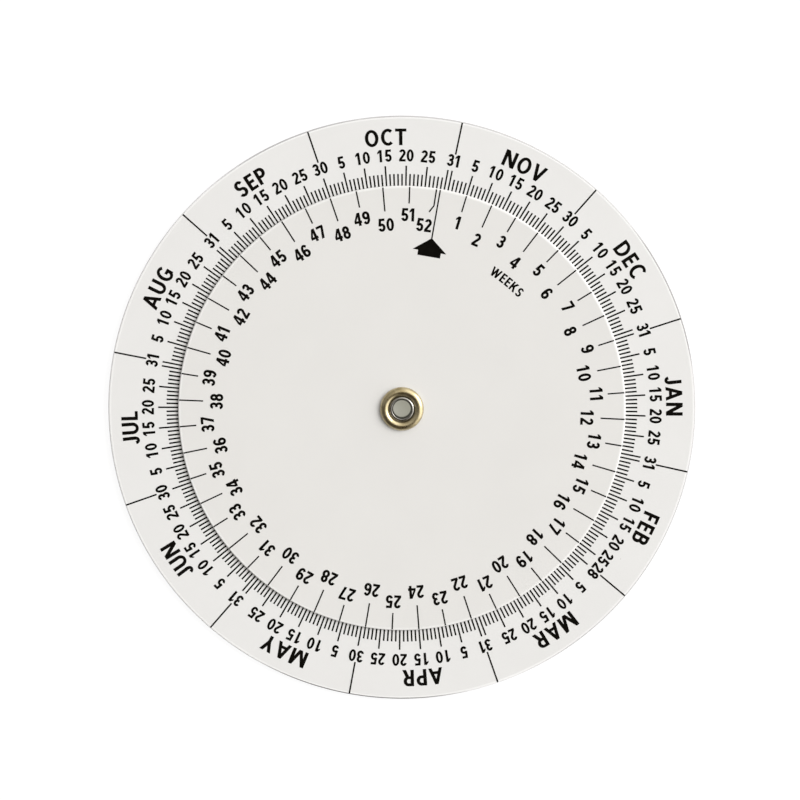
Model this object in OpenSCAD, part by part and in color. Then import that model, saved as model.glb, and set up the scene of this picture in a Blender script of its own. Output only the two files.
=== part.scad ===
// Flat date wheel: a week disc that turns over a month disc, both held on a hollow eyelet.
// The hub axis is Z, the printed faces look up, and the pointer lies along +Y.

/* [Month disc] */
// Diameter of the back disc, which carries the days and the months
month_disc_d = 127; // [118:1:160]
// Sheet thickness of the month disc
month_disc_t = 0.5; // [0.3:0.05:1.2]

/* [Week disc] */
// Sheet thickness of the week disc
week_disc_t = 0.5; // [0.3:0.05:1.2]

/* [Both discs] */
// Radius that the cutting die leaves on the upper rim of a disc
rim_round = 0.2; // [0.05:0.05:0.25]
// Axial gap on either side of the week disc, which lets it turn
turn_gap = 0.1; // [0.1:0.02:0.3]

/* [Eyelet] */
// Diameter of the clear hole through the eyelet
bore_d = 3.8; // [3:0.1:6]
// Sheet thickness of the eyelet and of its washer
metal_t = 0.3; // [0.2:0.05:0.4]
// Radius of the rounded mouth at the back end of the hole
mouth_round = 0.5; // [0.45:0.05:0.7]
// Width of the flat land on the back flange, on which the wheel lies
flange_land = 1.4; // [0.8:0.1:3]
// Height of the back flange, from its land to the month disc
flange_h = 0.8; // [0.8:0.05:1.5]
// Radius of the bead that is rolled at the front end of the barrel
bead_r = 0.4; // [0.3:0.05:0.6]
// Radial clearance of the discs and the washer round the barrel
barrel_clearance = 0.05; // [0.02:0.01:0.1]

/* [Washer] */
// Width of the half-round ring of the washer
washer_ring_w = 2; // [1.4:0.1:3]
// Radial gap between the rolled bead and the ring of the washer
bead_gap = 0.05; // [0.02:0.01:0.2]

/* [Print] */
// Thickness of the printed ink
ink_t = 0.02; // [0.01:0.01:0.04]
// Width of a day tick and of a month line
tick_w = 0.34; // [0.2:0.02:0.4]
// Width of a week line and of the pointer's line
week_line_w = 0.3; // [0.2:0.02:0.5]
// Length of the day ticks that is hidden under the week disc
tick_hidden = 0.8; // [0.2:0.1:3]
// Length of an ordinary day tick beyond the week disc
short_tick = 2.5; // [1.5:0.1:3.5]
// Length of every fifth and every last day's tick beyond the week disc
long_tick = 4.3; // [3.6:0.1:6]
// Radial room for the day numbers, between the long ticks and the month lines
number_band = 3.6; // [3:0.1:5]
// Length of a month line, inwards from the rim of the month disc
month_line = 7; // [5:0.1:9]
// Length of the lines of the odd weeks
odd_week_line = 3.8; // [2:0.1:5]
// Length of the lines of the even weeks
even_week_line = 5.4; // [2:0.1:7]
// Length of the straight stretch of the last week's bent line
bent_straight = 3.8; // [2:0.1:5]
// Length of the slanted stretch of the last week's bent line
bent_slant = 1.7; // [1:0.1:2.5]
// Angle of the slanted stretch, away from the pointer
bent_angle = 29; // [10:1:60]
// Day of the year under the pointer in the stored pose
start_day = 302; // [1:1:365]

/* [Pointer] */
// Length of the thin line from the week disc's rim to the arrow's tip
pointer_line = 10.8; // [8:0.1:16]
// Length of the arrow's head
arrow_head = 2.95; // [1.5:0.05:5]
// Half of the width of the arrow's head
arrow_half_w = 3.68; // [2.8:0.01:6]
// Length of the arrow's stem
arrow_stem = 1.1; // [0.5:0.05:4]
// Half of the width of the arrow's stem
arrow_stem_half_w = 2.48; // [0.5:0.01:2.7]

/* [Hidden] */
$fn = 120;

month_days = [31, 28, 31, 30, 31, 30, 31, 31, 30, 31, 30, 31];
year_days = 365;
week_days = 7;
last_week = 52;
long_tick_step = 5;

white_sheet = [0.92, 0.92, 0.91];
black_ink = [0.08, 0.08, 0.07];
nickel = [0.72, 0.72, 0.70];
brass = [0.78, 0.66, 0.38];

month_disc_r = month_disc_d / 2;
// The ring of the month disc that shows round the week disc holds the ticks, the day numbers and the months
shown_ring = rim_round + month_line + number_band + long_tick;
week_disc_r = month_disc_r - shown_ring;
bore_r = bore_d / 2;
barrel_r = bore_r + metal_t;
barrel_hole_r = barrel_r + barrel_clearance;
land_inner_r = bore_r + mouth_round;
land_outer_r = land_inner_r + flange_land;
bead_centre_r = bore_r + bead_r;
ring_r = washer_ring_w / 2;
ring_inner_r = bead_centre_r + bead_r + bead_gap;
ring_centre_r = ring_inner_r + ring_r;

// Heights, from the land that the wheel lies on to the top of the washer
month_disc_z = flange_h;
month_face_z = month_disc_z + month_disc_t;
week_disc_z = month_face_z + turn_gap;
week_face_z = week_disc_z + week_disc_t;
washer_z = week_face_z + turn_gap;
bead_z = washer_z + metal_t;

// Radii of the printed marks
tick_inner_r = week_disc_r - tick_hidden;
month_line_outer_r = month_disc_r - rim_round;
month_line_inner_r = month_line_outer_r - month_line;
week_line_outer_r = week_disc_r - rim_round;
arrow_tip_r = week_disc_r - pointer_line;
arrow_wing_r = arrow_tip_r - arrow_head;
arrow_stem_r = arrow_wing_r - arrow_stem;
arrow_neck_r = arrow_tip_r - arrow_head * week_line_w / 2 / arrow_half_w;
bend_r = week_disc_r - bent_straight;

// Days of the year before a month, counted from 0
function days_before(month) = month == 0 ? 0 : days_before(month - 1) + month_days[month - 1];

// Clockwise angles from the pointer, of a day of the year and of a week
function day_angle(day) = (day - start_day) * 360 / year_days;
function week_angle(week) = week * week_days * 360 / year_days;

// A day tick is long on every fifth day and on the last day of its month
function is_long(day, month) = day % long_tick_step == 0 || day == month_days[month];

// A disc with a hole, whose upper rim is rounded by the die
module punched_disc(outer_r, thickness) {
    rotate_extrude() {
        translate([barrel_hole_r, 0])
            square([outer_r - rim_round - barrel_hole_r, thickness]);
        translate([barrel_hole_r, 0])
            square([outer_r - barrel_hole_r, thickness - rim_round]);
        translate([outer_r - rim_round, thickness - rim_round])
            circle(r = rim_round);
    }
}

// A straight printed line from one radius to another, clockwise by an angle from the pointer
module radial_mark(width, inner_r, outer_r, angle) {
    rotate([0, 0, -angle])
        translate([-width / 2, inner_r, 0])
            cube([width, outer_r - inner_r, ink_t]);
}

// A quarter of a bent sheet: a ring sector on one side of its centre in each direction
module bent_sheet(outer_r, side) {
    intersection() {
        difference() {
            circle(r = outer_r);
            circle(r = outer_r - metal_t);
        }
        translate([side < 0 ? -outer_r : 0, -outer_r])
            square(outer_r);
    }
}

// The upper half of a round section
module half_round(r) {
    intersection() {
        circle(r = r);
        translate([-r, 0])
            square([2 * r, r]);
    }
}

module month_disc() {
    color(white_sheet)
        translate([0, 0, month_disc_z])
            punched_disc(month_disc_r, month_disc_t);
}

module day_ticks() {
    color(black_ink)
        translate([0, 0, month_face_z])
            for (month = [0 : len(month_days) - 1])
                for (day = [1 : month_days[month]])
                    radial_mark(
                        tick_w,
                        tick_inner_r,
                        week_disc_r + (is_long(day, month) ? long_tick : short_tick),
                        day_angle(days_before(month) + day)
                    );
}

module month_lines() {
    color(black_ink)
        translate([0, 0, month_face_z])
            for (month = [0 : len(month_days) - 1])
                radial_mark(
                    tick_w,
                    month_line_inner_r,
                    month_line_outer_r,
                    day_angle(days_before(month) + month_days[month])
                );
}

module week_disc() {
    color(white_sheet)
        translate([0, 0, week_disc_z])
            punched_disc(week_disc_r, week_disc_t);
}

// The last week ends one day before the pointer, so its line bends away from the pointer's line
module bent_week_line() {
    rotate([0, 0, -week_angle(last_week)])
        linear_extrude(ink_t) {
            translate([-week_line_w / 2, bend_r])
                square([week_line_w, week_line_outer_r - bend_r]);
            translate([0, bend_r])
                circle(d = week_line_w);
            translate([0, bend_r])
                rotate(-bent_angle)
                    translate([-week_line_w / 2, -bent_slant])
                        square([week_line_w, bent_slant]);
        }
}

module week_lines() {
    color(black_ink)
        translate([0, 0, week_face_z]) {
            for (week = [1 : last_week - 1])
                radial_mark(
                    week_line_w,
                    week_disc_r - (week % 2 == 1 ? odd_week_line : even_week_line),
                    week_line_outer_r,
                    week_angle(week)
                );
            bent_week_line();
        }
}

module pointer_arrow() {
    color(black_ink)
        translate([0, 0, week_face_z])
            linear_extrude(ink_t)
                polygon([
                    [week_line_w / 2, week_line_outer_r],
                    [week_line_w / 2, arrow_neck_r],
                    [arrow_half_w, arrow_wing_r],
                    [arrow_stem_half_w, arrow_wing_r],
                    [arrow_stem_half_w, arrow_stem_r],
                    [-arrow_stem_half_w, arrow_stem_r],
                    [-arrow_stem_half_w, arrow_wing_r],
                    [-arrow_half_w, arrow_wing_r],
                    [-week_line_w / 2, arrow_neck_r],
                    [-week_line_w / 2, week_line_outer_r]
                ]);
}

// One rolled piece: back flange, barrel through both discs, and the bead that holds the washer
module eyelet() {
    color(nickel)
        rotate_extrude() {
            translate([land_outer_r, flange_h])
                bent_sheet(flange_h, 1);
            translate([land_inner_r, 0])
                square([flange_land, metal_t]);
            translate([land_inner_r, mouth_round])
                bent_sheet(mouth_round, -1);
            translate([bore_r, mouth_round])
                square([metal_t, bead_z - mouth_round]);
            translate([bead_centre_r, bead_z])
                half_round(bead_r);
        }
}

// Half-round hollow ring with a flat lip, which the eyelet's bead holds down
module washer() {
    color(brass)
        translate([0, 0, washer_z])
            rotate_extrude() {
                translate([ring_centre_r, 0])
                    difference() {
                        half_round(ring_r);
                        circle(r = ring_r - metal_t);
                    }
                translate([barrel_hole_r, 0])
                    square([ring_inner_r + metal_t / 2 - barrel_hole_r, metal_t]);
            }
}

month_disc();
day_ticks();
month_lines();
week_disc();
week_lines();
pointer_arrow();
eyelet();
washer();
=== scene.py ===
import math
import bmesh
import bpy
from mathutils import Matrix, Vector


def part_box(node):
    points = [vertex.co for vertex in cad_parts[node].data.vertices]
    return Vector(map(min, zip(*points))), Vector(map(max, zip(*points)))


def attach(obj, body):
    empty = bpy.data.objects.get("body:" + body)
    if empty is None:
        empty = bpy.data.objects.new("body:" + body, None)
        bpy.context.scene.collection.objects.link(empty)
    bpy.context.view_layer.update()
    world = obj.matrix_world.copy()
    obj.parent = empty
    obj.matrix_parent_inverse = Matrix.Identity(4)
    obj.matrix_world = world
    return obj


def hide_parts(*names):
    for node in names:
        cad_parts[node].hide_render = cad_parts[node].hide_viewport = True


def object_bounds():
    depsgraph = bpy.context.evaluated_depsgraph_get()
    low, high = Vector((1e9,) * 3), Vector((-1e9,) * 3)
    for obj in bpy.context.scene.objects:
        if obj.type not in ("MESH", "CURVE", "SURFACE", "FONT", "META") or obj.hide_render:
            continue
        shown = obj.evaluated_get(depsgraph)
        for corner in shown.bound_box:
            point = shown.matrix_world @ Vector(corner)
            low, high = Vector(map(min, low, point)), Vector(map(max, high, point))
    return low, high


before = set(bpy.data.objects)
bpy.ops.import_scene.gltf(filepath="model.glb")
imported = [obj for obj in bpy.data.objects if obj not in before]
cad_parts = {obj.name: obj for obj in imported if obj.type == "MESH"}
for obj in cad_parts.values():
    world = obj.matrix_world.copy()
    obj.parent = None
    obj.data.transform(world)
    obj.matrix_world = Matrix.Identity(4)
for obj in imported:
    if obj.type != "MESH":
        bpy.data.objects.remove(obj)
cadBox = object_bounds()
scene = bpy.context.scene
mm = 0.001
weld = 0.0005 * mm  # points closer than this are one
print("frame loaded:", ", ".join(sorted(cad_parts)))


def radiusOf(node):  # radius of a round node, from the narrowest side of its box
    low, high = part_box(node)
    return min(-low.x, -low.y, high.x, high.y)


def clearOf(node):  # nearest distance of a node to the hub axis
    return min(v.co.xy.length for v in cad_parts[node].data.vertices)


# sizes of the wheel, all from the frame
monthR, weekR = radiusOf("month_disc"), radiusOf("week_disc")
holeR, boreR = clearOf("week_disc"), clearOf("eyelet")
monthBottom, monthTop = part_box("month_disc")[0].z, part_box("month_disc")[1].z
weekBottom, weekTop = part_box("week_disc")[0].z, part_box("week_disc")[1].z
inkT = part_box("day_ticks")[1].z - monthTop


# camera: nearly straight down, rolled so that the pointer leans right as in the photograph
shot = {
    "imagePx": 800,
    "wheelPx": (401.9, 408.5),  # where the wheel's centre falls in the picture
    "mmPerPx": 0.2162,
    "rollDeg": 9.9,
    "tiltDeg": -6.6,  # the camera stands a little beyond the top of the picture
    "distance": 2000 * mm,
    "sensor": 36.0,
    "clipStart": 10 * mm,
}
roll = math.radians(shot["rollDeg"])
imageRight = Vector((math.cos(roll), math.sin(roll), 0))
imageUp = Vector((-math.sin(roll), math.cos(roll), 0))
towardsSky = Vector((0, 0, 1))


def makeCamera():
    tilt = math.radians(shot["tiltDeg"])
    back = towardsSky * math.cos(tilt) - imageUp * math.sin(tilt)
    up = imageUp * math.cos(tilt) + towardsSky * math.sin(tilt)
    pixel = shot["mmPerPx"] * mm
    acrossPx, downPx = (p - shot["imagePx"] / 2 for p in shot["wheelPx"])
    aim = towardsSky * monthTop - imageRight * acrossPx * pixel + imageUp * downPx * pixel
    data = bpy.data.cameras.new("camera")
    data.sensor_width = shot["sensor"]
    data.lens = shot["sensor"] * shot["distance"] / (shot["imagePx"] * pixel)
    data.clip_start = shot["clipStart"]
    obj = bpy.data.objects.new("camera", data)
    turn = Matrix((imageRight, up, back)).transposed().to_4x4()
    obj.matrix_world = Matrix.Translation(aim + back * shot["distance"]) @ turn
    scene.collection.objects.link(obj)
    scene.camera = obj


makeCamera()
print("camera set")


# helpers for meshes
def meshObject(bm, name, sharpDeg=30):
    bmesh.ops.recalc_face_normals(bm, faces=bm.faces)
    mesh = bpy.data.meshes.new(name)
    bm.to_mesh(mesh)
    bm.free()
    mesh.shade_smooth()
    mesh.set_sharp_from_angle(angle=math.radians(sharpDeg))
    obj = bpy.data.objects.new(name, mesh)
    scene.collection.objects.link(obj)
    return obj


def arc(centreR, centreZ, width, height, fromDeg, toDeg, stepDeg=7.5):
    steps = math.ceil(abs(toDeg - fromDeg) / stepDeg)
    angles = [math.radians(fromDeg + (toDeg - fromDeg) * k / steps) for k in range(steps + 1)]
    return [(centreR + width * math.cos(a), centreZ + height * math.sin(a)) for a in angles]


def spun(name, section, steps, sharpDeg=30):  # a closed section turned round the hub axis
    bm = bmesh.new()
    verts = [bm.verts.new((r, 0, z)) for r, z in section]
    edges = [bm.edges.new((a, b)) for a, b in zip(verts, verts[1:] + verts[:1])]
    bmesh.ops.spin(bm, geom=verts + edges, cent=(0, 0, 0), axis=(0, 0, 1), dvec=(0, 0, 0),
                   angle=2 * math.pi, steps=steps, use_merge=True)
    bmesh.ops.remove_doubles(bm, verts=bm.verts, dist=weld)
    return meshObject(bm, name, sharpDeg)


def dress(obj, material, body, slot, *replaced):
    obj.data.materials.clear()
    obj.data.materials.append(material)
    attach(obj, body)
    if replaced:
        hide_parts(*replaced)


# helpers for materials
def newMaterial(name):
    mat = bpy.data.materials.new(name)
    mat.use_nodes = True
    return mat, mat.node_tree, mat.node_tree.nodes["Principled BSDF"]


def feed(tree, socket, value):
    if isinstance(value, bpy.types.NodeSocket):
        tree.links.new(value, socket)
    else:
        socket.default_value = value


def addNode(tree, kind, inputs, **settings):
    node = tree.nodes.new(kind)
    for key, value in settings.items():
        setattr(node, key, value)
    for key, value in inputs.items():
        feed(tree, node.inputs[key], value)
    return node


def objectCoords(tree):
    return addNode(tree, "ShaderNodeTexCoord", {}).outputs["Object"]


def noise(tree, coords, scale, detail, rough):
    inputs = {"Vector": coords, "Scale": scale, "Detail": detail, "Roughness": rough}
    return addNode(tree, "ShaderNodeTexNoise", inputs).outputs["Fac"]


def ramp(tree, value, low, high, toLow=0.0, toHigh=1.0):
    inputs = {"Value": value, "From Min": low, "From Max": high, "To Min": toLow, "To Max": toHigh}
    return addNode(tree, "ShaderNodeMapRange", inputs).outputs["Result"]


def vectorMath(tree, operation, first, second=(0, 0, 0), output="Vector"):
    return addNode(tree, "ShaderNodeVectorMath", {0: first, 1: second}, operation=operation).outputs[output]


def fromHub(tree, coords):  # distance from the hub axis
    return vectorMath(tree, "LENGTH", vectorMath(tree, "MULTIPLY", coords, (1, 1, 0)), output="Value")


def aroundHub(tree, coords, arcs, fadeDeg):
    # an arc round the hub is its middle, clockwise from the pointer, its half width and its share
    flat = vectorMath(tree, "NORMALIZE", vectorMath(tree, "MULTIPLY", coords, (1, 1, 0)))
    share = 0.0
    for middleDeg, halfDeg, full in arcs:
        middle = math.radians(middleDeg)
        along = vectorMath(tree, "DOT_PRODUCT", flat, (math.sin(middle), math.cos(middle), 0), "Value")
        ends = (math.cos(math.radians(halfDeg + fade)) for fade in (fadeDeg, 0))
        inputs = {0: share, 1: ramp(tree, along, *ends, 0, full)}
        share = addNode(tree, "ShaderNodeMath", inputs, operation="MAXIMUM").outputs[0]
    return share


def mixColor(tree, share, first, second):
    inputs = {0: share, 6: first, 7: second}  # 6, 7 and output 2 are the node's colour sockets
    return addNode(tree, "ShaderNodeMix", inputs, data_type="RGBA").outputs[2]


def times(tree, first, second):
    return addNode(tree, "ShaderNodeMath", {0: first, 1: second}, operation="MULTIPLY").outputs[0]


# the two die-cut discs of white satin sheet
sheetLook = {
    # face, its darker patches, the cut wall, and a lighter band along the edge that is a painted highlight
    # of the rolled edge
    "month": {
        "face": (0.752, 0.748, 0.740, 1), "shade": (0.724, 0.719, 0.709, 1),
        "cut": (0.74, 0.72, 0.73, 1), "paintedEdgeLight": (0.840, 0.838, 0.832, 1),
    },
    "week": {
        "face": (0.722, 0.714, 0.697, 1), "shade": (0.694, 0.685, 0.668, 1),
        "cut": (0.70, 0.69, 0.68, 1), "paintedEdgeLight": (0.790, 0.785, 0.772, 1),
    },
    "paintedEdgeLightFrom": 0.60 * mm, "paintedEdgeLightFull": 0.35 * mm,  # where the painted edge highlight begins and is full, measured in from the wall
    # painted shade: a dark line along the month disc's edge, in one wide arc and three short ones
    "paintedRimShade": (0.10, 0.09, 0.09, 1),
    "paintedRimShadeArcs": ((60, 75, 0.5), (330, 8, 0.5), (57, 10, 0.8), (178, 10, 0.85)), "paintedRimShadeFadeDeg": 12,
    "paintedRimShadeReach": 0.18 * mm,
    "cutBlend": 0.02 * mm,  # width over which the cut wall's colour and the painted rim shade set in
    "speck": (0.36, 0.33, 0.29, 1),
    # a noise is its cells per metre, detail and roughness; what is drawn from it follows
    "cloud": (55, 4, 0.60), "cloudShare": (0.35, 0.70, 0, 0.55),
    "grain": (2600, 3, 0.60), "grainShare": (0.35, 0.75, 0, 0.22),
    "satin": (140, 5, 0.65), "satinRoughness": (0.30, 0.70, 0.36, 0.50),
    "grainDepth": 0.010 * mm, "grainStrength": 0.6,
    "dustCells": 210.0, "dustSize": (0.030, 0.020), "dustShare": (0.90, 0.93, 0, 0.6),
    "gloss": 0.4,
}


def whiteSheet(name, colors, wallR, withPaintedRimShade):
    look = sheetLook
    mat, tree, shader = newMaterial(name)
    coords = objectCoords(tree)
    grain = noise(tree, coords, *look["grain"])
    cloudy = ramp(tree, noise(tree, coords, *look["cloud"]), *look["cloudShare"])
    color = mixColor(tree, cloudy, colors["face"], colors["shade"])
    color = mixColor(tree, ramp(tree, grain, *look["grainShare"]), color, colors["shade"])
    # dust: one cell in twelve holds a tiny grain
    cells = addNode(tree, "ShaderNodeTexVoronoi", {"Vector": coords, "Scale": look["dustCells"]})
    near = ramp(tree, cells.outputs["Distance"], *look["dustSize"])
    drawn = addNode(tree, "ShaderNodeSeparateColor", {"Color": cells.outputs["Color"]})
    few = ramp(tree, drawn.outputs["Red"], *look["dustShare"])
    color = mixColor(tree, times(tree, near, few), color, look["speck"])
    away, blend = fromHub(tree, coords), look["cutBlend"]
    # painted highlight: a lighter band inside the wall, all round the disc, stands in for the light that
    # the rolled edge catches
    paintedEdgeLightShare = ramp(tree, away, wallR - look["paintedEdgeLightFrom"], wallR - look["paintedEdgeLightFull"])
    color = mixColor(tree, paintedEdgeLightShare, color, colors["paintedEdgeLight"])
    color = mixColor(tree, ramp(tree, away, wallR, wallR + blend), color, colors["cut"])
    # painted shade: the month disc's edge is darkened in the listed arcs
    if withPaintedRimShade:
        paintedRimShadeR = wallR - look["paintedRimShadeReach"]
        paintedRimShadeShare = aroundHub(tree, coords, look["paintedRimShadeArcs"], look["paintedRimShadeFadeDeg"])
        paintedRimShadeShare = times(tree, paintedRimShadeShare, ramp(tree, away, paintedRimShadeR, paintedRimShadeR + blend))
        color = mixColor(tree, paintedRimShadeShare, color, look["paintedRimShade"])
    feed(tree, shader.inputs["Base Color"], color)
    satin = ramp(tree, noise(tree, coords, *look["satin"]), *look["satinRoughness"])
    feed(tree, shader.inputs["Roughness"], satin)
    bump = {"Height": grain, "Strength": look["grainStrength"], "Distance": look["grainDepth"]}
    feed(tree, shader.inputs["Normal"], addNode(tree, "ShaderNodeBump", bump).outputs["Normal"])
    shader.inputs["Specular IOR Level"].default_value = look["gloss"]
    return mat


discCut = {
    # how far in and down the die rolls the upper edge over, and how far the wall leans out below that
    "month": {"rollWidth": 0.34 * mm, "rollDepth": 0.10 * mm, "wallSlope": 0.10 * mm},
    "week": {"rollWidth": 0.32 * mm, "rollDepth": 0.12 * mm, "wallSlope": 0.05 * mm},
    "lowerRound": 0.04 * mm, "lowerStepDeg": 30,
    "support": 0.06 * mm,  # width of the ring beside each edge that keeps the flats evenly shaded
    "steps": 360,
}


def cutDisc(name, edge, radius, bottom, top):
    support, low, half = discCut["support"], discCut["lowerRound"], radius / 2
    rollR = radius - edge["wallSlope"] - edge["rollWidth"]
    section = [(holeR, bottom), (holeR, top), (holeR + support, top), (half, top), (rollR - support, top)]
    section += arc(rollR, top - edge["rollDepth"], edge["rollWidth"], edge["rollDepth"], 90, 0)
    section += arc(radius - low, bottom + low, low, low, 0, -90, discCut["lowerStepDeg"])
    section += [(radius - low - support, bottom), (half, bottom), (holeR + support, bottom)]
    return spun(name, section, discCut["steps"])


monthSheet = whiteSheet("monthSheet", sheetLook["month"], monthR - discCut["month"]["wallSlope"], True)
weekSheet = whiteSheet("weekSheet", sheetLook["week"], weekR - discCut["week"]["wallSlope"], False)
monthDisc = cutDisc("monthDisc", discCut["month"], monthR, monthBottom, monthTop)
weekDisc = cutDisc("weekDisc", discCut["week"], weekR, weekBottom, weekTop)
dress(monthDisc, monthSheet, "month_wheel", "white_sheet", "month_disc")
dress(weekDisc, weekSheet, "week_wheel", "white_sheet", "week_disc")
print("discs cut")


# hub: a hollow half-round washer and the eyelet whose front end is rolled over it
hubSheet = {"thickness": 0.30 * mm, "steps": 128, "sharpDeg": 40}
brassLook = {
    "clean": (0.555, 0.467, 0.275, 1),
    "dull": (0.33, 0.25, 0.105, 1),
    "coat": 1.0,  # clear lacquer
    "roughness": (0.30, 0.75, 0.24, 0.38),
    "paintedCreviceShade": (2.88 * mm, 2.74 * mm, 0, 0.9),  # painted shade in the valley, from the first radius to the second
}
nickelLook = {
    "clean": (0.38, 0.365, 0.335, 1),
    "dull": (0.21, 0.20, 0.185, 1),
    "coat": 0.0,
    "roughness": (0.30, 0.75, 0.16, 0.32),
    "paintedCreviceShade": (2.22 * mm, 2.10 * mm, 0, 0.9),  # painted shade also in the mouth and barrel of the hole
}
metalLook = {
    # near-black colour of the painted shade in the hub's crevices
    "paintedCreviceShade": (0.020, 0.019, 0.014, 1),
    "stain": (420, 5, 0.62), "stainShare": (0.45, 0.75),
    "polish": (1500, 5, 0.70),
    "coatRoughness": 0.2,
    "pits": (5200, 3, 0.60), "pitDepth": 0.01 * mm, "pitStrength": 0.25,
}


def hubMetal(name, look):
    metal = metalLook
    mat, tree, shader = newMaterial(name)
    coords = objectCoords(tree)
    stain = ramp(tree, noise(tree, coords, *metal["stain"]), *metal["stainShare"])
    color = mixColor(tree, stain, look["clean"], look["dull"])
    # painted shade: darkened towards the hub axis, in the crevices
    paintedCreviceShade = ramp(tree, fromHub(tree, coords), *look["paintedCreviceShade"])
    feed(tree, shader.inputs["Base Color"], mixColor(tree, paintedCreviceShade, color, metal["paintedCreviceShade"]))
    polish = ramp(tree, noise(tree, coords, *metal["polish"]), *look["roughness"])
    feed(tree, shader.inputs["Roughness"], polish)
    pits = noise(tree, coords, *metal["pits"])
    bump = {"Height": pits, "Strength": metal["pitStrength"], "Distance": metal["pitDepth"]}
    feed(tree, shader.inputs["Normal"], addNode(tree, "ShaderNodeBump", bump).outputs["Normal"])
    shader.inputs["Metallic"].default_value = 1.0
    shader.inputs["Coat Weight"].default_value = look["coat"]
    shader.inputs["Coat Roughness"].default_value = metal["coatRoughness"]
    return mat


washerShape = {
    "ringInnerR": 2.75 * mm,  # the ring, from its inner foot to its crest
    "crestR": 3.70 * mm,
    "lipBend": 0.06 * mm,  # where the flat lip turns up into the ring
}


def makeWasher():
    shape, sheet = washerShape, hubSheet["thickness"]
    low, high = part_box("washer")[0].z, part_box("washer")[1].z
    rim, inner, crest, bend = radiusOf("washer"), shape["ringInnerR"], shape["crestR"], shape["lipBend"]
    tall = high - low
    footDeg = 180 - math.degrees(math.asin((sheet + bend) / tall))
    section = [(holeR, low), (holeR, low + sheet), (inner - bend, low + sheet)]
    section += arc(crest, low, crest - inner, tall, footDeg, 90)
    section += arc(crest, low, rim - crest, tall, 90, 0)[1:]
    section += arc(crest, low, rim - crest - sheet, tall - sheet, 0, 90)
    section += arc(crest, low, crest - inner - sheet, tall - sheet, 90, 180)[1:]
    return spun("washerRing", section, hubSheet["steps"], hubSheet["sharpDeg"])


eyeletShape = {
    "mouthRound": 0.50 * mm,  # back end of the hole
    "beadCrestR": 2.28 * mm,
    "beadMouthR": 2.12 * mm,  # the bead's inner edge, from which a steep wall leads into the barrel
    "beadRound": 0.11 * mm,
    "beadLip": 0.05 * mm,
    "wallFoot": 0.52 * mm,  # depth at which the steep wall meets the barrel
}


def makeEyelet():
    shape, sheet = eyeletShape, hubSheet["thickness"]
    mouth, crest, lip, rounding = (shape[k] for k in ("mouthRound", "beadCrestR", "beadLip", "beadRound"))
    bottom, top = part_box("eyelet")[0].z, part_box("eyelet")[1].z
    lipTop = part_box("washer")[0].z + sheet
    beadR = boreR + 2 * (top - lipTop)
    mouthR = boreR + mouth
    bend = monthBottom - bottom
    bendR = radiusOf("eyelet") - bend
    section = [(boreR, top - shape["wallFoot"])]
    section += arc(crest, top - rounding, crest - shape["beadMouthR"], rounding, 180, 90)
    section += arc(crest, lipTop + lip, beadR - crest, top - lipTop - lip, 90, 0)[1:]
    section += arc(beadR - lip, lipTop + lip, lip, lip, 0, -90)[1:]
    section += [(boreR + sheet, lipTop)]
    section += arc(mouthR, bottom + mouth, mouth - sheet, mouth - sheet, 180, 270)
    section += arc(bendR, monthBottom, bend - sheet, bend - sheet, 270, 360)
    section += arc(bendR, monthBottom, bend, bend, 360, 270)
    section += arc(mouthR, bottom + mouth, mouth, mouth, 270, 180)
    return spun("rolledEyelet", section, hubSheet["steps"], hubSheet["sharpDeg"])


dress(makeWasher(), hubMetal("tarnishedBrass", brassLook), "month_wheel", "brass", "washer")
dress(makeEyelet(), hubMetal("dulledNickel", nickelLook), "month_wheel", "nickel", "eyelet")
print("hub rolled")


# printed ink, first on the lines that the frame has
inkLook = {
    "full": (0.0028, 0.0023, 0.0016, 1),
    "thin": (0.0052, 0.0045, 0.0032, 1),
    "cover": (900, 4, 0.60), "coverShare": (0.35, 0.70),
    "matt": (1700, 3, 0.60), "mattRoughness": (0.30, 0.70, 0.42, 0.60),
    "gloss": 0.02,
}


def printedInk():
    look = inkLook
    mat, tree, shader = newMaterial("printedInk")
    coords = objectCoords(tree)
    cover = ramp(tree, noise(tree, coords, *look["cover"]), *look["coverShare"])
    feed(tree, shader.inputs["Base Color"], mixColor(tree, cover, look["full"], look["thin"]))
    matt = ramp(tree, noise(tree, coords, *look["matt"]), *look["mattRoughness"])
    feed(tree, shader.inputs["Roughness"], matt)
    shader.inputs["Specular IOR Level"].default_value = look["gloss"]
    return mat


ink = printedInk()
for markNode in ("day_ticks", "month_lines", "week_lines", "pointer_arrow"):
    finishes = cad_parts[markNode].data.materials
    finishes.clear()
    finishes.append(ink)
print("lines inked")


# figures and capitals are made of pen strokes; pen widths and gaps in units of the character's height
figurePen = {"stem": 0.200, "slant": 0.185, "rung": 0.190, "gap": 0.078, "arcSteps": 24}
capitalPen = {"stem": 0.205, "slant": 0.190, "rung": 0.178, "gap": 0.15, "arcSteps": 24}
joining = {"weld": 0.0001, "flatDeg": 1, "order": Vector((1000, 1, 0))}  # points weld from left to right

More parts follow.
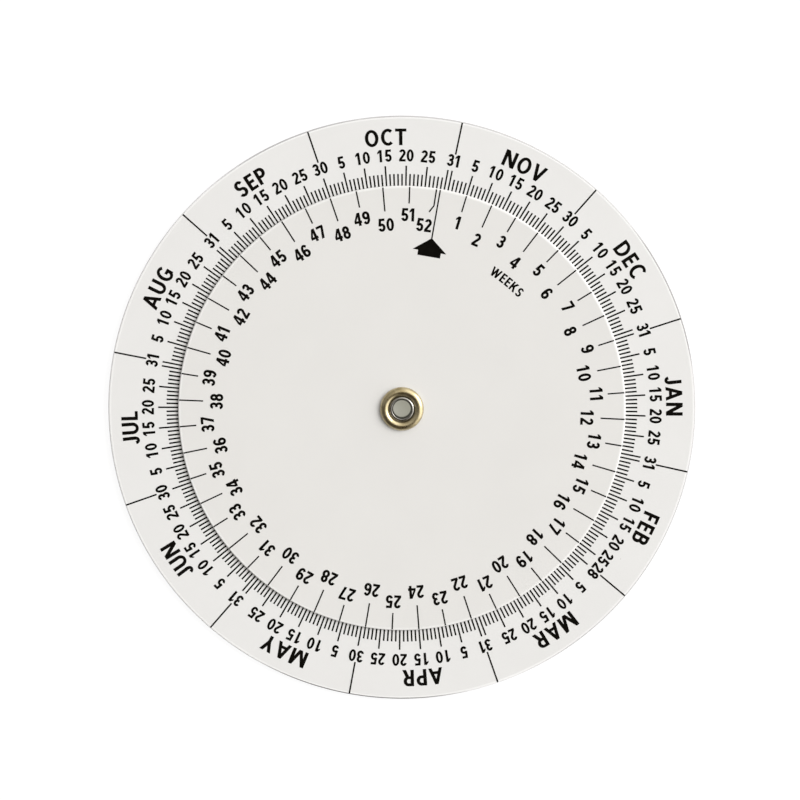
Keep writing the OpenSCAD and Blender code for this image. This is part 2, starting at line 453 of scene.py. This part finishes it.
# a character's width and its strokes; 0 and the width, or 0 and 1 in height, set a stroke flush
# stem and slant: x and y at the foot, x and y at the head; rung: x from and to, y
# loop: left, right, low, high; bowl: the same and the degrees it runs from and to; slab: its corners
figureStrokes = {
    "0": (0.575, [("loop", 0, 0.575, 0, 1)]),
    "1": (0.515, [("stem", 0.26, 0, 0.26, 1), ("slab", 0, 0.66, 0, 0.80, 0.16, 1, 0.30, 1, 0.30, 0.84)]),
    "2": (0.53, [("bowl", 0, 0.52, 0.52, 1, -46, 168), ("rung", 0, 0.53, 0),
                 ("slab", 0.306, 0.645, 0, 0.17, 0, 0, 0.235, 0, 0.235, 0.185, 0.459, 0.524)]),
    "3": (0.545, [("bowl", 0.02, 0.50, 0.512, 1, -90, 165), ("bowl", 0, 0.545, 0, 0.512, -165, 90),
                  ("rung", 0.17, 0.30, 0.512)]),
    "4": (0.575, [("stem", 0.46, 0, 0.46, 1), ("rung", 0, 0.575, 0.235),
                  ("slab", 0, 0.25, 0, 0.375, 0.285, 1, 0.43, 1, 0.165, 0.375, 0.165, 0.25)]),
    "5": (0.55, [("rung", 0.085, 0.515, 1), ("bowl", 0, 0.55, 0, 0.55, -162, 142),
                 ("slab", 0.02, 0.43, 0.216, 0.397, 0.27, 1, 0.08, 1)]),
    "6": (0.565, [("loop", 0, 0.565, 0, 0.536), ("bowl", 0, 0.60, 0.15, 1, 36, 184),
                  ("stem", 0, 0.30, 0, 0.56)]),
    "7": (0.54, [("rung", 0, 0.54, 1),
                 ("slab", 0.10, 0, 0.315, 0, 0.54, 0.83, 0.54, 1, 0.34, 1, 0.34, 0.80)]),
    "8": (0.565, [("loop", 0.035, 0.53, 0.53, 1), ("loop", 0, 0.565, 0, 0.53)]),
}
upright = ("stem", 0, 0, 0, 1)  # left upright that most capitals share
capitalStrokes = {
    "A": (0.84, [("slant", 0, 0, 0.42, 1), ("slant", 0.84, 0, 0.42, 1), ("rung", 0.19, 0.65, 0.245)]),
    "B": (0.64, [upright, ("rung", 0.05, 0.34, 1), ("rung", 0.05, 0.36, 0.537), ("rung", 0.05, 0.36, 0),
                 ("bowl", 0.12, 0.58, 0.537, 1, -92, 92), ("bowl", 0.12, 0.64, 0, 0.537, -92, 92)]),
    "C": (0.70, [("bowl", 0, 0.89, -0.02, 1.02, 48, 312)]),
    "D": (0.76, [upright, ("rung", 0.05, 0.32, 1), ("rung", 0.05, 0.32, 0),
                 ("bowl", -0.19, 0.76, 0, 1, -92, 92)]),
    "E": (0.53, [upright, ("rung", 0.05, 0.52, 1), ("rung", 0.05, 0.48, 0.52), ("rung", 0.05, 0.53, 0)]),
    "F": (0.52, [upright, ("rung", 0.05, 0.52, 1), ("rung", 0.05, 0.47, 0.48)]),
    "G": (0.75, [("bowl", 0, 0.84, -0.02, 1.02, 46, 318), ("stem", 0.75, 0.12, 0.75, 0.50),
                 ("rung", 0.41, 0.75, 0.44)]),
    "J": (0.48, [("stem", 0.48, 0.27, 0.48, 1), ("bowl", -0.03, 0.48, -0.02, 0.51, 196, 362)]),
    "K": (0.72, [upright, ("slant", 0.10, 0.36, 0.66, 1), ("slant", 0.72, 0, 0.30, 0.60)]),
    "L": (0.54, [upright, ("rung", 0.05, 0.54, 0)]),
    "M": (0.98, [upright, ("stem", 0.98, 0, 0.98, 1), ("slant", 0.49, 0, 0, 1),
                 ("slant", 0.49, 0, 0.98, 1)]),
    "N": (0.78, [upright, ("stem", 0.78, 0, 0.78, 1), ("slant", 0.78, 0, 0, 1)]),
    "O": (0.82, [("loop", 0, 0.82, -0.02, 1.02)]),
    "P": (0.62, [upright, ("rung", 0.05, 0.33, 1), ("rung", 0.05, 0.33, 0.45),
                 ("bowl", 0.03, 0.62, 0.45, 1, -92, 92)]),
    "R": (0.70, [upright, ("rung", 0.05, 0.33, 1), ("rung", 0.05, 0.36, 0.475),
                 ("bowl", 0.04, 0.60, 0.475, 1, -92, 92), ("slant", 0.70, 0, 0.36, 0.50)]),
    "S": (0.61, [("bowl", 0.015, 0.595, 0.5, 1.02, 24, 270), ("bowl", 0, 0.61, -0.02, 0.5, -156, 90)]),
    "T": (0.68, [("rung", 0, 0.68, 1), ("stem", 0.34, 0, 0.34, 1)]),
    "U": (0.71, [("stem", 0, 0.35, 0, 1), ("stem", 0.71, 0.35, 0.71, 1),
                 ("bowl", 0, 0.71, -0.02, 0.69, 178, 362)]),
    "V": (0.80, [("slant", 0.40, 0, 0, 1), ("slant", 0.40, 0, 0.80, 1)]),
    "W": (1.10, [("slant", 0.29, 0, 0, 1), ("slant", 0.29, 0, 0.55, 1), ("slant", 0.81, 0, 0.55, 1),
                 ("slant", 0.81, 0, 1.10, 1)]),
    "Y": (0.74, [("stem", 0.37, 0, 0.37, 0.48), ("slant", 0.37, 0.38, 0, 1),
                 ("slant", 0.37, 0.38, 0.74, 1)]),
}


def flush(value, full, width):  # where a stroke's middle lies when 0 and full set its sides flush
    return width / 2 + value * (1 - width / full)


def roundStroke(bm, numbers, pen, wide, whole):
    left, right, low, high = numbers[:4]
    start, end = (0, 360) if whole else numbers[4:]
    stem, rung = pen["stem"], pen["rung"]
    x0, x1 = flush(left, wide, stem), flush(right, wide, stem)
    y0, y1 = flush(low, 1, rung), flush(high, 1, rung)
    across, tall = x1 - x0, y1 - y0
    innerR, outerR = 1, 2  # a round ring first, whose two sides are then stretched to the stroke's
    inner, outer = bm.verts.new((innerR, 0, 0)), bm.verts.new((outerR, 0, 0))
    rail = bm.edges.new((inner, outer))
    turn = Matrix.Rotation(math.radians(start), 3, "Z")
    bmesh.ops.rotate(bm, verts=bm.verts, cent=(0, 0, 0), matrix=turn)
    bmesh.ops.spin(bm, geom=[inner, outer, rail], cent=(0, 0, 0), axis=(0, 0, 1), dvec=(0, 0, 0),
                   angle=math.radians(end - start), use_merge=whole,
                   steps=math.ceil(pen["arcSteps"] * (end - start) / 360))
    midway = (innerR + outerR) / 2
    inside = [v for v in bm.verts if v.co.length < midway]
    outside = [v for v in bm.verts if v.co.length > midway]
    bmesh.ops.scale(bm, verts=inside, vec=((across - stem) / 2 / innerR, (tall - rung) / 2 / innerR, 1))
    bmesh.ops.scale(bm, verts=outside, vec=((across + stem) / 2 / outerR, (tall + rung) / 2 / outerR, 1))
    bmesh.ops.translate(bm, verts=bm.verts, vec=((x0 + x1) / 2, (y0 + y1) / 2, 0))


def straightCorners(kind, numbers, pen, wide):
    if kind == "slab":
        return list(zip(numbers[::2], numbers[1::2]))
    if kind == "rung":
        x0, x1, y = numbers
        half = pen["rung"] / 2
        y = flush(y, 1, pen["rung"])
        return [(x0, y - half), (x1, y - half), (x1, y + half), (x0, y + half)]
    x0, y0, x1, y1 = numbers
    half = pen[kind] / 2 * math.hypot(1, (x1 - x0) / (y1 - y0))
    x0, x1 = flush(x0, wide, 2 * half), flush(x1, wide, 2 * half)
    return [(x0 - half, y0), (x0 + half, y0), (x1 + half, y1), (x1 - half, y1)]


def raiseFlat(bm):  # flat faces become a closed slab of unit height
    raised = bmesh.ops.extrude_face_region(bm, geom=bm.faces[:])["geom"]
    bmesh.ops.translate(bm, verts=[g for g in raised if isinstance(g, bmesh.types.BMVert)], vec=towardsSky)


def strokeObject(kind, numbers, pen, wide):
    bm = bmesh.new()
    if kind in ("loop", "bowl"):
        roundStroke(bm, numbers, pen, wide, kind == "loop")
    else:
        bm.faces.new([bm.verts.new((x, y, 0)) for x, y in straightCorners(kind, numbers, pen, wide)])
    raiseFlat(bm)
    return meshObject(bm, "stroke")


def keepOutline(bm):  # cuts a slab at half its height, and lays the outline down flat
    half, order = towardsSky / 2, joining["order"]
    slab = bm.verts[:] + bm.edges[:] + bm.faces[:]
    cut = bmesh.ops.bisect_plane(bm, geom=slab, dist=joining["weld"], plane_co=half, plane_no=towardsSky)
    outline = {g for g in cut["geom_cut"] if isinstance(g, bmesh.types.BMEdge)}
    bmesh.ops.delete(bm, geom=[e for e in bm.edges if e not in outline], context="EDGES")
    bmesh.ops.translate(bm, verts=bm.verts, vec=-half)
    bm.verts.sort(key=lambda v: v.co.dot(order))
    bm.edges.sort(key=lambda e: (e.verts[0].co + e.verts[1].co).dot(order))
    bmesh.ops.remove_doubles(bm, verts=bm.verts, dist=joining["weld"])
    flat = math.radians(joining["flatDeg"])
    bmesh.ops.dissolve_limit(bm, angle_limit=flat, verts=bm.verts, edges=bm.edges)


def inkCharacter(wide, strokes, pen):  # the strokes of one character, joined into one mesh of unit height
    parts = [strokeObject(kind, numbers, pen, wide) for kind, *numbers in strokes]
    for other in parts[1:]:
        join = parts[0].modifiers.new("join", "BOOLEAN")
        join.operation = "UNION"
        join.solver = "EXACT"
        join.object = other
    bpy.context.view_layer.update()
    joined = parts[0].evaluated_get(bpy.context.evaluated_depsgraph_get())
    mesh = bpy.data.meshes.new_from_object(joined)
    for part in parts:
        bpy.data.meshes.remove(part.data)
    bm = bmesh.new()
    bm.from_mesh(mesh)
    keepOutline(bm)  # the solver divides the faces in another way each time, the outline is always the same
    bmesh.ops.triangle_fill(bm, edges=bm.edges, use_beauty=True)
    raiseFlat(bm)
    bmesh.ops.recalc_face_normals(bm, faces=bm.faces)
    bm.to_mesh(mesh)
    bm.free()
    return mesh


characters = {}
for table, pen in ((figureStrokes, figurePen), (capitalStrokes, capitalPen)):
    for key, (wide, strokes) in table.items():
        characters[key] = (wide, inkCharacter(wide, strokes, pen))
sixWide, six = characters["6"]
nine = six.copy()  # a nine is a six upside down
nine.transform(Matrix.Translation((sixWide, 1, 0)) @ Matrix.Rotation(math.pi, 4, "Z"))
characters["9"] = (sixWide, nine)
print("characters joined:", len(characters))


def stamp(bm, key, matrix):
    before = len(bm.verts)
    bm.from_mesh(characters[key][1])
    bm.verts.ensure_lookup_table()
    bmesh.ops.transform(bm, matrix=matrix, verts=bm.verts[before:])


def printLabel(bm, label, pen, height, angle, baseR, level, curved=False):
    # angle is clockwise from the pointer; a curved label turns each character by itself
    widths = [characters[key][0] * height for key in label]
    gap = pen["gap"] * height
    left = -(sum(widths) + gap * (len(label) - 1)) / 2
    size = Matrix.Diagonal((height, height, inkT, 1))
    for key, wide in zip(label, widths):
        turn = angle + ((left + wide / 2) / (baseR + height / 2) if curved else 0)
        start = -wide / 2 if curved else left
        place = Matrix.Rotation(-turn, 4, "Z") @ Matrix.Translation((start, baseR, level))
        stamp(bm, key, place @ size)
        left += wide + gap


calendar = {
    "JAN": 31, "FEB": 28, "MAR": 31, "APR": 30, "MAY": 31, "JUN": 30,
    "JUL": 31, "AUG": 31, "SEP": 30, "OCT": 31, "NOV": 30, "DEC": 31,
}
dayTurn = 2 * math.pi / sum(calendar.values())
pointerDay = 302  # day of the year that the frame has under its pointer
numberedDays = (5, 10, 15, 20, 25)
# bases of the figures and capitals, measured inwards from the rim of their disc
dayPrint = {
    "height": 2.66 * mm,
    "inset": 9.89 * mm,
    "crowdedDays": 3,  # where the last number follows this closely, the one before it moves back
    "moveBack": 0.75,
}
monthPrint = {"height": 3.59 * mm, "inset": 6.36 * mm}


def printMonthWheel():
    days, names = bmesh.new(), bmesh.new()
    dayR, nameR = monthR - dayPrint["inset"], monthR - monthPrint["inset"]
    passed = 0
    for name, length in calendar.items():
        for day in numberedDays + (length,):
            back = dayPrint["moveBack"] if length - day == dayPrint["crowdedDays"] else 0
            angle = (passed + day - back - pointerDay) * dayTurn
            printLabel(days, str(day), figurePen, dayPrint["height"], angle, dayR, monthTop)
        middle = (passed + length / 2 - pointerDay) * dayTurn
        printLabel(names, name, capitalPen, monthPrint["height"], middle, nameR, monthTop, True)
        passed += length
    dress(meshObject(days, "dayNumbers"), ink, "month_wheel", "black_ink")
    dress(meshObject(names, "monthNames"), ink, "month_wheel", "black_ink")


weekPrint = {"height": 2.85 * mm, "oddInset": 7.67 * mm, "evenInset": 9.74 * mm, "weeks": 52, "days": 7}
lastWeekPrint = {"turnDeg": -3.1, "inset": 9.65 * mm}  # the last number stands clear of the pointer's line
legendPrint = {"text": "WEEKS", "height": 2.05 * mm, "inset": 13.58 * mm, "turnDeg": 29.5}


def printWeekWheel():
    last, legend = lastWeekPrint, legendPrint
    lastWeek, height, weekTurn = weekPrint["weeks"], weekPrint["height"], weekPrint["days"] * dayTurn
    weeks, words = bmesh.new(), bmesh.new()
    for week in range(1, lastWeek):
        baseR = weekR - (weekPrint["oddInset"] if week % 2 else weekPrint["evenInset"])
        printLabel(weeks, str(week), figurePen, height, week * weekTurn, baseR, weekTop)
    printLabel(weeks, str(lastWeek), figurePen, height, math.radians(last["turnDeg"]),
               weekR - last["inset"], weekTop)
    printLabel(words, legend["text"], capitalPen, legend["height"], math.radians(legend["turnDeg"]),
               weekR - legend["inset"], weekTop, True)
    dress(meshObject(weeks, "weekNumbers"), ink, "week_wheel", "black_ink")
    dress(meshObject(words, "weeksLegend"), ink, "week_wheel", "black_ink")


printMonthWheel()
printWeekWheel()
print("scales printed")


# floor: a light table, dimmer and warmer under the wheel, which keeps wide shadows off it
floorLook = {
    "radius": 6.0, "sides": 64, "below": 0.01 * mm,
    "color": (0.16, 0.16, 0.16, 1), "roughness": 0.9, "gloss": 0.1,
    "glowFrom": (0.6 * monthR, 0.9 * monthR),  # radii where the open floor's glow begins and is full
    "glow": (0.32, 0.88),
    "underTone": (1, 0.985, 0.80, 1), "openTone": (1, 1, 1, 1),
}


def makeFloor():
    look = floorLook
    bm = bmesh.new()
    bmesh.ops.create_circle(bm, cap_ends=True, segments=look["sides"], radius=look["radius"])
    bmesh.ops.translate(bm, verts=bm.verts, vec=(0, 0, cadBox[0].z - look["below"]))
    floor = meshObject(bm, "floor")
    mat, tree, shader = newMaterial("paleFloor")
    away = ramp(tree, fromHub(tree, objectCoords(tree)), *look["glowFrom"])
    feed(tree, shader.inputs["Emission Color"], mixColor(tree, away, look["underTone"], look["openTone"]))
    feed(tree, shader.inputs["Emission Strength"], ramp(tree, away, 0, 1, *look["glow"]))
    shader.inputs["Base Color"].default_value = look["color"]
    shader.inputs["Roughness"].default_value = look["roughness"]
    shader.inputs["Specular IOR Level"].default_value = look["gloss"]
    floor.data.materials.append(mat)


# light: one soft key from the right, and a room that fills the shadows
keyLight = {"turnDeg": 68, "heightDeg": 34, "distance": 4.0, "size": 2.2, "power": 92.0}
roomLight = {
    "even": (0.205, 0.202, 0.200, 1),
    # where it differs: turn and height in the picture, cosines where that begins and is full, colour
    "ceiling": (0, 35, 0.30, 0.90, (0.52, 0.51, 0.49, 1)),
    "window": (76, 25, 0.20, 0.85, (2.10, 2.08, 2.04, 1)),
    "behindCamera": (195, 60, 0.76, 0.92, (0.050, 0.034, 0.018, 1)),
}


def imageDirection(turnDeg, heightDeg):  # turn is clockwise from the top of the picture
    turn, height = math.radians(turnDeg), math.radians(heightDeg)
    flat = imageRight * math.sin(turn) + imageUp * math.cos(turn)
    return flat * math.cos(height) + towardsSky * math.sin(height)


def makeKey():
    toKey = imageDirection(keyLight["turnDeg"], keyLight["heightDeg"])
    data = bpy.data.lights.new("key", "AREA")
    data.shape = "DISK"
    data.size = keyLight["size"]
    data.energy = keyLight["power"]
    obj = bpy.data.objects.new("key", data)
    obj.location = toKey * keyLight["distance"]
    obj.rotation_euler = toKey.to_track_quat("Z", "Y").to_euler()
    scene.collection.objects.link(obj)


def makeRoom():
    world = bpy.data.worlds.new("studio")
    world.use_nodes = True
    tree = world.node_tree
    looking = addNode(tree, "ShaderNodeTexCoord", {}).outputs["Generated"]
    color = roomLight["even"]
    for side in ("ceiling", "window", "behindCamera"):
        turn, height, begins, full, tone = roomLight[side]
        along = vectorMath(tree, "DOT_PRODUCT", looking, imageDirection(turn, height), "Value")
        color = mixColor(tree, ramp(tree, along, begins, full), color, tone)
    feed(tree, tree.nodes["Background"].inputs["Color"], color)
    scene.world = world


makeFloor()
makeKey()
makeRoom()
scene.view_settings.view_transform = "Standard"
print("floor and light set")
